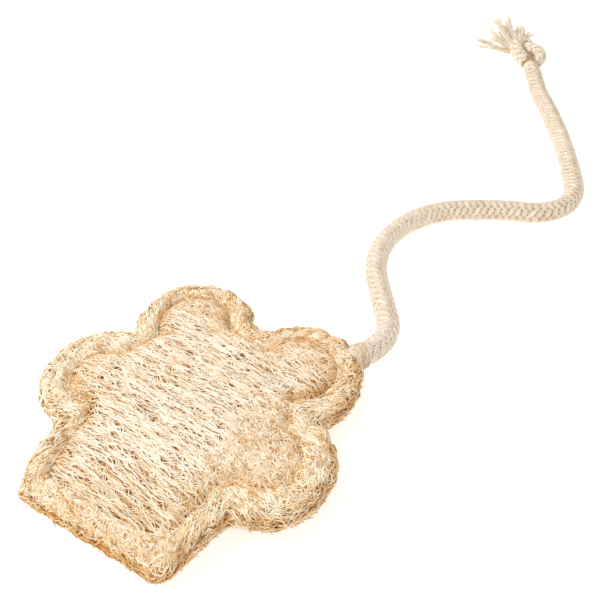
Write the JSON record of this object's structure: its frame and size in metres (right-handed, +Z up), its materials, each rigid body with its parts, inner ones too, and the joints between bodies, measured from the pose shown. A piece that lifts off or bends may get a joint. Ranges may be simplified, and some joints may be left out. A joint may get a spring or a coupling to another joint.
{
  "type": "loofah back scrubber",
  "caption": "Flat paw-shaped loofah fibre scrubbing pad with a sewn puffy rim and a braided cotton rope that ends in an overhand knot and a frayed tassel.",
  "frame": {"origin": "under the middle of the pad, on the plane the pad rests on", "axes": "+Y along the pad's mirror line from the straight trunk end to the two top lobes, +X towards the lobe the rope leaves from, +Z up out of the pad's upper face"},
  "size_m": [0.1504, 0.4364, 0.0309],
  "materials": {
    "loofah_top": "open, wiry network of dried loofah fibre, cream over tan",
    "loofah_under": "open, wiry network of dried loofah fibre",
    "loofah_filling": "pressed loofah fibre, tan",
    "sewing_thread": "twisted cotton sewing thread, off-white",
    "rope_cotton": "braided undyed cotton",
    "yarn_cotton": "loose undyed cotton yarn"
  },
  "bodies": {
    "pad": {"loofah_top_panel": "loofah_top", "loofah_bottom_panel": "loofah_under", "loofah_core": "loofah_filling", "top_seam_thread": "sewing_thread", "bottom_seam_thread": "sewing_thread", "rope_anchor": "rope_cotton", "rope_tack_thread": "sewing_thread"},
    "rope_link_1": {"rope_segment_1": "rope_cotton"},
    "rope_link_2": {"rope_segment_2": "rope_cotton"},
    "rope_link_3": {"rope_segment_3": "rope_cotton"},
    "rope_link_4": {"rope_segment_4": "rope_cotton"},
    "rope_link_5": {"rope_segment_5": "rope_cotton"},
    "rope_link_6": {"rope_segment_6": "rope_cotton"},
    "rope_link_7": {"rope_segment_7": "rope_cotton"},
    "rope_end": {"rope_segment_8": "rope_cotton", "rope_knot": "rope_cotton"},
    "tassel": {"tassel_yarn_01": "yarn_cotton", "tassel_yarn_02": "yarn_cotton", "tassel_yarn_03": "yarn_cotton", "tassel_yarn_04": "yarn_cotton", "tassel_yarn_05": "yarn_cotton", "tassel_yarn_06": "yarn_cotton", "tassel_yarn_07": "yarn_cotton", "tassel_yarn_08": "yarn_cotton", "tassel_yarn_09": "yarn_cotton", "tassel_yarn_10": "yarn_cotton"}
  },
  "joints": [
    {"name": "rope_swing_1", "type": "hinge", "parent": "pad", "child": "rope_link_1", "pos_m": [0.044, 0.05825, 0.0077], "axis": [0, 0, 1], "range_deg": [-45, 45]},
    {"name": "rope_lift_1", "type": "hinge", "parent": "rope_link_1", "child": "rope_link_2", "pos_m": [0.03722, 0.08454, 0.005], "axis": [0.8093, 0.5873, 0], "range_deg": [-45, 45]},
    {"name": "rope_swing_2", "type": "hinge", "parent": "rope_link_2", "child": "rope_link_3", "pos_m": [0.01909, 0.12169, 0.005], "axis": [0, 0, 1], "range_deg": [-45, 45]},
    {"name": "rope_lift_2", "type": "hinge", "parent": "rope_link_3", "child": "rope_link_4", "pos_m": [0.03296, 0.15996, 0.005], "axis": [0.711, -0.7032, 0], "range_deg": [-45, 45]},
    {"name": "rope_swing_3", "type": "hinge", "parent": "rope_link_4", "child": "rope_link_5", "pos_m": [0.06722, 0.18015, 0.005], "axis": [0, 0, 1], "range_deg": [-45, 45]},
    {"name": "rope_lift_3", "type": "hinge", "parent": "rope_link_5", "child": "rope_link_6", "pos_m": [0.0818, 0.22087, 0.005], "axis": [0.9338, 0.3579, 0], "range_deg": [-45, 45]},
    {"name": "rope_swing_4", "type": "hinge", "parent": "rope_link_6", "child": "rope_link_7", "pos_m": [0.06512, 0.2594, 0.005], "axis": [0, 0, 1], "range_deg": [-45, 45]},
    {"name": "rope_lift_4", "type": "hinge", "parent": "rope_link_7", "child": "rope_end", "pos_m": [0.04625, 0.29466, 0.005], "axis": [0.8618, 0.5072, 0], "range_deg": [-45, 45]},
    {"name": "tassel_flop", "type": "hinge", "parent": "rope_end", "child": "tassel", "pos_m": [0.00891, 0.35124, 0.01128], "axis": [0.8251, 0.565, 0], "range_deg": [-30, 30]}
  ]
}
